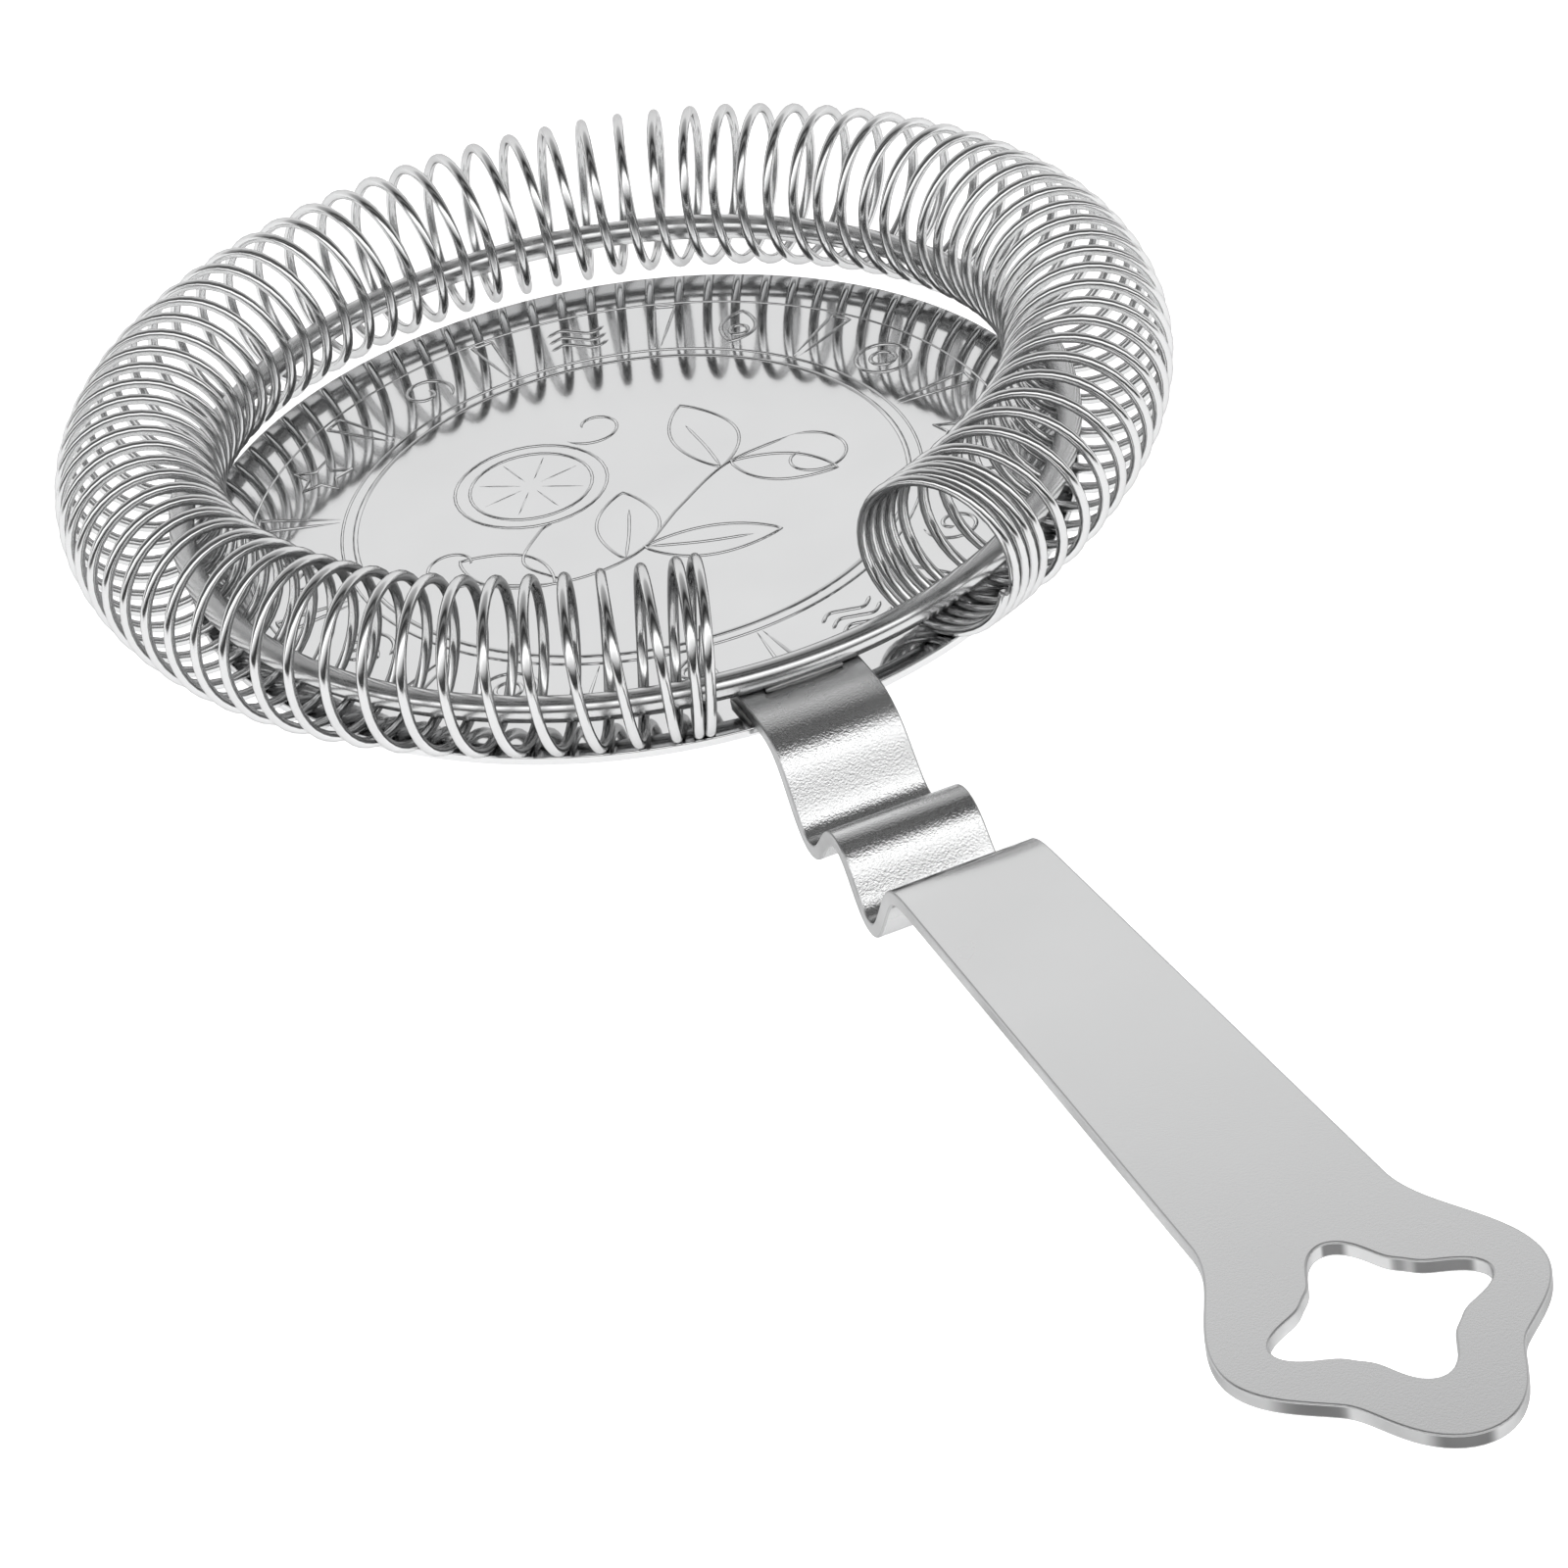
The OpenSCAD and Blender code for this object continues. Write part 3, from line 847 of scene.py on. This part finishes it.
def build_strap(*materials):
    """The strip that makes the handle; materials for its faces, its walls and their edges."""
    place, up = strap_line()
    bm = flat_strap([float(y) for y in place[1:-1, 0]])
    normals = bend_strap(bm, place, up)
    mesh = bpy.data.meshes.new("strap")
    bm.to_mesh(mesh)
    bm.free()
    for material in materials:
        mesh.materials.append(material)
    strap = place_piece("strap", mesh, "frame", ["handle_strap"])
    mesh.normals_split_custom_set_from_vertices(normals)
    return strap


# ------------------------------------------------------------ welds
def bead(name, start, end, thick, material, seed, *nodes):
    """A lumpy weld bead between two points."""
    steps, corners = 28, 14
    start, end = Vector(start), Vector(end)
    path, radii = [], []
    for i in range(steps + 1):
        t = i / steps
        swell = math.sin(math.pi * min(1, max(0, 0.04 + 0.92 * t))) ** 0.35
        lump = 1 + BEAD_LUMPS * noise.noise(Vector((t * 9, seed, 0)))
        wander = Vector((0, 0, BEAD_WANDER * noise.noise(Vector((t * 5, seed, 3)))))
        path.append(tuple(start.lerp(end, t) + wander))
        radii.append(thick * swell * lump)
    side = np.tile(np.array([0, 0, 1.0]), (steps + 1, 1))
    verts, faces = tube(np.array(path), side, np.array(radii), corners, False)
    return make_piece(name, verts, faces, material, "frame", "weld_steel", *nodes)


def build_welds(material):
    middle, z = RING_X * 0.5, PLATE_T + STRAP_T + RING_BEAD_LIFT
    for name, side in (("ring_weld_outer", -1), ("ring_weld_inner", 1)):
        y = RING_Y - RING_R + side * RING_BEAD_GAP
        bead(name, (middle - RING_BEAD_HALF, y, z), (middle + RING_BEAD_HALF, y, z),
             RING_BEAD_R, material, side * 3.1, "ring_weld_beads")
    z = PLATE_T + STRAP_BEAD_LIFT
    for name, side in (("strap_weld_left", -1), ("strap_weld_right", 1)):
        x = STRAP_X + side * (STRAP_W_IN / 2 + STRAP_BEAD_GAP)
        bead(name, (x, -STRAP_BEAD_OUT, z), (x, -STRAP_BEAD_IN, z), STRAP_BEAD_R, material,
             side * 7.7, "strap_weld_beads")


# ------------------------------------------------------------ studio
def build_world():
    """Soft surroundings: pale far side, darker ceiling, one large soft light by the camera."""
    world = bpy.data.worlds.new("studio")
    bpy.context.scene.world = world
    world.use_nodes = True
    tree = world.node_tree
    place = add_node(tree, "ShaderNodeTexCoord")
    turn = add_node(tree, "ShaderNodeVectorRotate", rotation_type="Z_AXIS")
    turn.inputs["Angle"].default_value = -math.radians(CAMERA_AZIMUTH)
    split = add_node(tree, "ShaderNodeSeparateXYZ")
    tree.links.new(place.outputs["Generated"], turn.inputs["Vector"])
    tree.links.new(turn.outputs["Vector"], split.inputs["Vector"])
    angle = math_node(tree, "ARCTAN2", split.outputs["Z"], split.outputs["Y"])
    back = tree.nodes["Background"]
    share = math_node(tree, "DIVIDE", angle, math.pi)
    tree.links.new(brightness(tree, share), back.inputs["Color"])
    back.inputs["Strength"].default_value = 1.0


def brightness(tree, share):
    """Grey level of the surroundings at a share of the way over the top."""
    node = add_node(tree, "ShaderNodeValToRGB")
    tree.links.new(share, node.inputs["Fac"])
    stops = FAR_WALL + CEILING + SOFT_LIGHT + DARK_BEHIND
    elements = node.color_ramp.elements
    while len(elements) < len(stops):
        elements.new(0.5)
    for element, (at, level) in zip(elements, stops):
        element.position = at
        element.color = (level, level, level, 1)
    return node.outputs["Color"]


def build_floor():
    """A plain pale card just under the object."""
    half, z = FLOOR_HALF, CAD_BOX[0].z - FLOOR_DROP
    mesh = bpy.data.meshes.new("floor")
    mesh.from_pydata([(-half, -half, z), (half, -half, z), (half, half, z), (-half, half, z)],
                     [], [(0, 1, 2, 3)])
    mat, tree, shader = new_material("floor_card")
    shader.inputs["Roughness"].default_value = 0.9
    tone = scale_range(tree, noise_at(tree, 2.0), (0, 1, *FLOOR_TONE))
    tree.links.new(tone, shader.inputs["Base Color"])
    shader.inputs["Emission Color"].default_value = (1, 1, 1, 1)
    shader.inputs["Emission Strength"].default_value = FLOOR_GLOW
    mesh.materials.append(mat)
    floor = bpy.data.objects.new("floor", mesh)
    bpy.context.scene.collection.objects.link(floor)


def build_camera():
    """Camera at the photograph's viewing angle, rolled a little and off-centre."""
    data = bpy.data.cameras.new("camera")
    data.lens = CAMERA_LENS
    data.shift_x, data.shift_y = CAMERA_SHIFT
    data.clip_start = 0.01
    cam = bpy.data.objects.new("camera", data)
    bpy.context.scene.collection.objects.link(cam)
    az, el, roll = (math.radians(a) for a in (CAMERA_AZIMUTH, CAMERA_ELEVATION, CAMERA_ROLL))
    back = Vector((math.sin(az) * math.cos(el), -math.cos(az) * math.cos(el), math.sin(el)))
    right = Vector((math.cos(az), math.sin(az), 0))
    up = back.cross(right)
    right, up = (right * math.cos(roll) + up * math.sin(roll),
                 up * math.cos(roll) - right * math.sin(roll))
    cam.matrix_world = matrix_from(right, up, back, CAMERA_AIM + back * CAMERA_DISTANCE)
    bpy.context.scene.camera = cam


def matrix_from(x, y, z, place):
    return Matrix(((x.x, y.x, z.x, place.x), (x.y, y.y, z.y, place.y),
                   (x.z, y.z, z.z, place.z), (0, 0, 0, 1)))


# ------------------------------------------------------------ put together
polished = steel("polished_plate", (0.635, 0.637, 0.64), rough=0.07,
                 grain=0.03, grain_size=0.5, scratch=0.05, wave=0.25)
rod_steel = steel("polished_rod", (0.57, 0.572, 0.574), rough=0.22,
                  grain=0.2, grain_size=0.4, scratch=0.10)
wire_steel = steel("spring_wire", (0.60, 0.602, 0.604), rough=0.16,
                   grain=0.05, grain_size=0.3, scratch=0.08)
satin = steel("satin_strap", (0.63, 0.632, 0.634), rough=0.25,
              grain=1.0, grain_size=0.18, scratch=0.04)
# The last of these paints shade into the strap's colour, darker towards the loop.
for satin_layer in (bend_grain, bend_marks, loop_painted_shade):
    satin_layer(satin)
# The walls' colour carries painted shade where they face the camera.
sheared = dark_front(steel("sheared_wall", (0.52, 0.522, 0.524), rough=0.34,
                           grain=0.5, grain_size=0.10, scratch=0.30, patch=(0.3, 1.6)))
# Painted shade: a darker tint on the strap's rounded edges draws a dark line along them.
edge_shade_steel = steel("edge_painted_shade", (0.48, 0.482, 0.484), rough=0.42,
                  grain=0.3, grain_size=0.10, scratch=0.20)
weld = steel("weld_metal", (0.28, 0.28, 0.28), rough=0.34,
             grain=0.6, grain_size=0.12, scratch=0.05)

build_plate(polished)
build_ring(rod_steel)
build_spring(wire_steel)
build_strap(satin, sheared, edge_shade_steel)
build_welds(weld)
build_world()
build_floor()
build_camera()
bpy.context.scene.view_settings.view_transform = "Standard"
